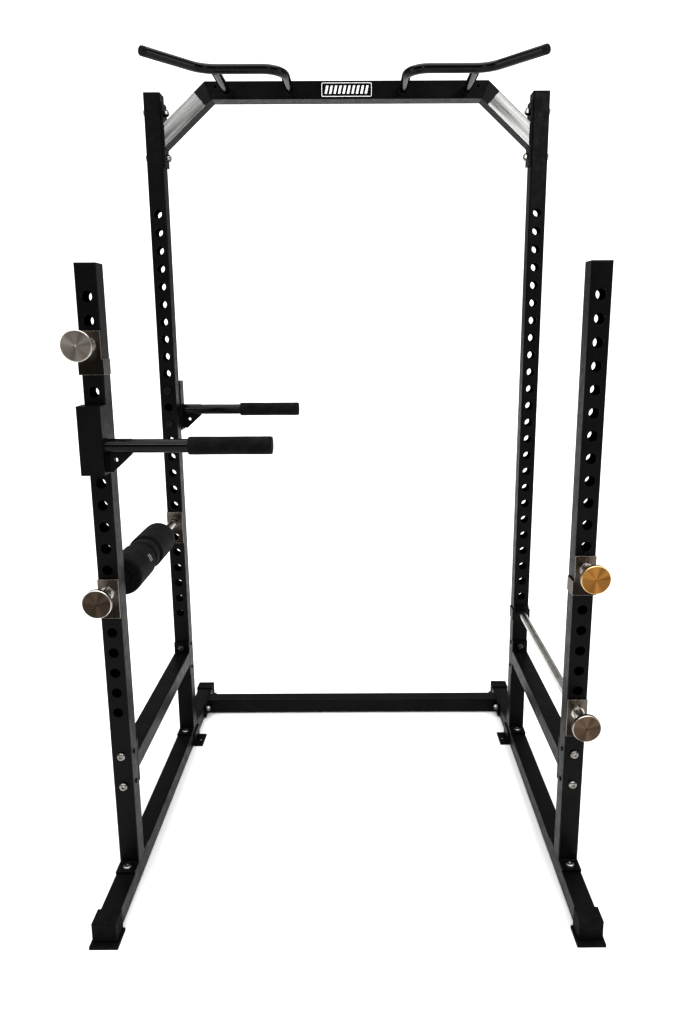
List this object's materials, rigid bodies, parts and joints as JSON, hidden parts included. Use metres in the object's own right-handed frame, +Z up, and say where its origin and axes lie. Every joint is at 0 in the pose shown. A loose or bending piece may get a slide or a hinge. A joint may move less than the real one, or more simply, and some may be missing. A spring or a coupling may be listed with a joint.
{
  "type": "power cage",
  "caption": "Half-open power cage: floor base, tall rear and short front uprights with pin holes, pull-up beam, disc-ended hooks and bars, foam roller and dip handles.",
  "frame": {"origin": "on the floor, in the middle of the base's length and between the two base rails", "axes": "+Z up, -Y towards the front where the lifter walks in, +X to the right of a person facing the cage from the front"},
  "size_m": [1.245, 1.2, 2.163],
  "materials": {
    "powder_coat": "satin black powder coat, fine orange-peel grain",
    "gloss_coat": "smooth semi-gloss black powder coat",
    "bare_diagonal": "bright brushed front and top, drawn lengthways, black underneath",
    "rubber_foot": "matt moulded rubber",
    "black_plastic": "matt moulded plastic",
    "label": "black plate with a plain white border line",
    "zinc_fastener": "bright zinc plate",
    "brushed_plate": "warm brushed steel with bright cut edges",
    "coated_saddle": "satin black coat",
    "chrome_bar": "polished chrome plate",
    "dark_pin": "dark phosphated steel",
    "bronze_disc": "darker warm turned face with fine circular marks",
    "spun_disc": "turned face with fine circular marks",
    "gold_disc": "turned gold-coloured face with fine circular marks",
    "brown_disc": "dark brown turned face with a bright rim",
    "foam": "matt closed-cell foam"
  },
  "bodies": {
    "frame": {"left_base_rail": "powder_coat", "right_base_rail": "powder_coat", "left_side_brace": "powder_coat", "right_side_brace": "powder_coat", "rear_floor_crossmember": "powder_coat", "front_left_upright": "powder_coat", "front_right_upright": "powder_coat", "rear_left_upright": "powder_coat", "rear_right_upright": "powder_coat", "foot_plates": "powder_coat", "pull_up_beam": "powder_coat", "left_beam_end_plate": "powder_coat", "right_beam_end_plate": "powder_coat", "left_floor_tab": "powder_coat", "right_floor_tab": "powder_coat", "left_pull_up_handle": "gloss_coat", "right_pull_up_handle": "gloss_coat", "left_handle_post": "gloss_coat", "right_handle_post": "gloss_coat", "left_beam_diagonal": "bare_diagonal", "right_beam_diagonal": "bare_diagonal", "front_left_foot": "rubber_foot", "front_right_foot": "rubber_foot", "rear_left_foot": "rubber_foot", "rear_right_foot": "rubber_foot", "label_plate": "label", "brace_bolts": "zinc_fastener", "foot_plate_bolts": "zinc_fastener", "crossmember_bolts": "zinc_fastener", "beam_bolts": "zinc_fastener", "hex_nuts": "zinc_fastener", "side_rivets": "zinc_fastener", "upright_top_caps": "black_plastic", "handle_end_caps": "black_plastic"},
    "left_hook": {"left_hook_plate": "brushed_plate", "left_hook_rod": "chrome_bar", "left_hook_disc": "spun_disc"},
    "right_hook": {"right_hook_plate": "brushed_plate", "right_hook_rod": "chrome_bar", "right_hook_disc": "gold_disc"},
    "roller_bar": {"roller_bar_plate": "brushed_plate", "roller_bar_rod": "chrome_bar", "roller_bar_disc": "brown_disc"},
    "roller": {"roller_core": "black_plastic", "roller_foam": "foam"},
    "roller_saddle": {"roller_bar_saddle": "brushed_plate"},
    "safety_bar": {"safety_bar_plate": "brushed_plate", "safety_bar_rod": "chrome_bar", "safety_bar_disc": "bronze_disc"},
    "safety_saddle": {"safety_bar_saddle": "coated_saddle"},
    "front_dip": {"front_dip_bracket": "powder_coat", "front_dip_pins": "dark_pin", "front_dip_bar": "gloss_coat", "front_dip_gusset": "powder_coat", "front_dip_grip": "foam"},
    "rear_dip": {"rear_dip_bracket": "powder_coat", "rear_dip_pins": "dark_pin", "rear_dip_bar": "gloss_coat", "rear_dip_gusset": "powder_coat", "rear_dip_grip": "foam"}
  },
  "joints": [
    {"name": "left_hook_pull", "type": "slide", "parent": "frame", "child": "left_hook", "axis": [0, -1, 0], "range_m": [0, 0.07]},
    {"name": "right_hook_pull", "type": "slide", "parent": "frame", "child": "right_hook", "axis": [0, -1, 0], "range_m": [0, 0.07]},
    {"name": "roller_bar_pull", "type": "slide", "parent": "frame", "child": "roller_bar", "axis": [0, -1, 0], "range_m": [0, 0.66]},
    {"name": "roller_saddle_slide", "type": "slide", "parent": "frame", "child": "roller_saddle", "axis": [0, -1, 0], "range_m": [0, 0.12]},
    {"name": "safety_bar_pull", "type": "slide", "parent": "frame", "child": "safety_bar", "axis": [0, -1, 0], "range_m": [0, 0.66]},
    {"name": "safety_saddle_slide", "type": "slide", "parent": "frame", "child": "safety_saddle", "axis": [0, -1, 0], "range_m": [0, 0.2]},
    {"name": "front_dip_pull", "type": "slide", "parent": "frame", "child": "front_dip", "axis": [0, -1, 0], "range_m": [0, 0.07]},
    {"name": "rear_dip_pull", "type": "slide", "parent": "frame", "child": "rear_dip", "axis": [0, 1, 0], "range_m": [0, 0.07]},
    {"name": "roller_spin", "type": "hinge", "parent": "frame", "child": "roller", "pos_m": [-0.58, -0.115, 0.818], "axis": [0, 1, 0], "continuous": true}
  ]
}
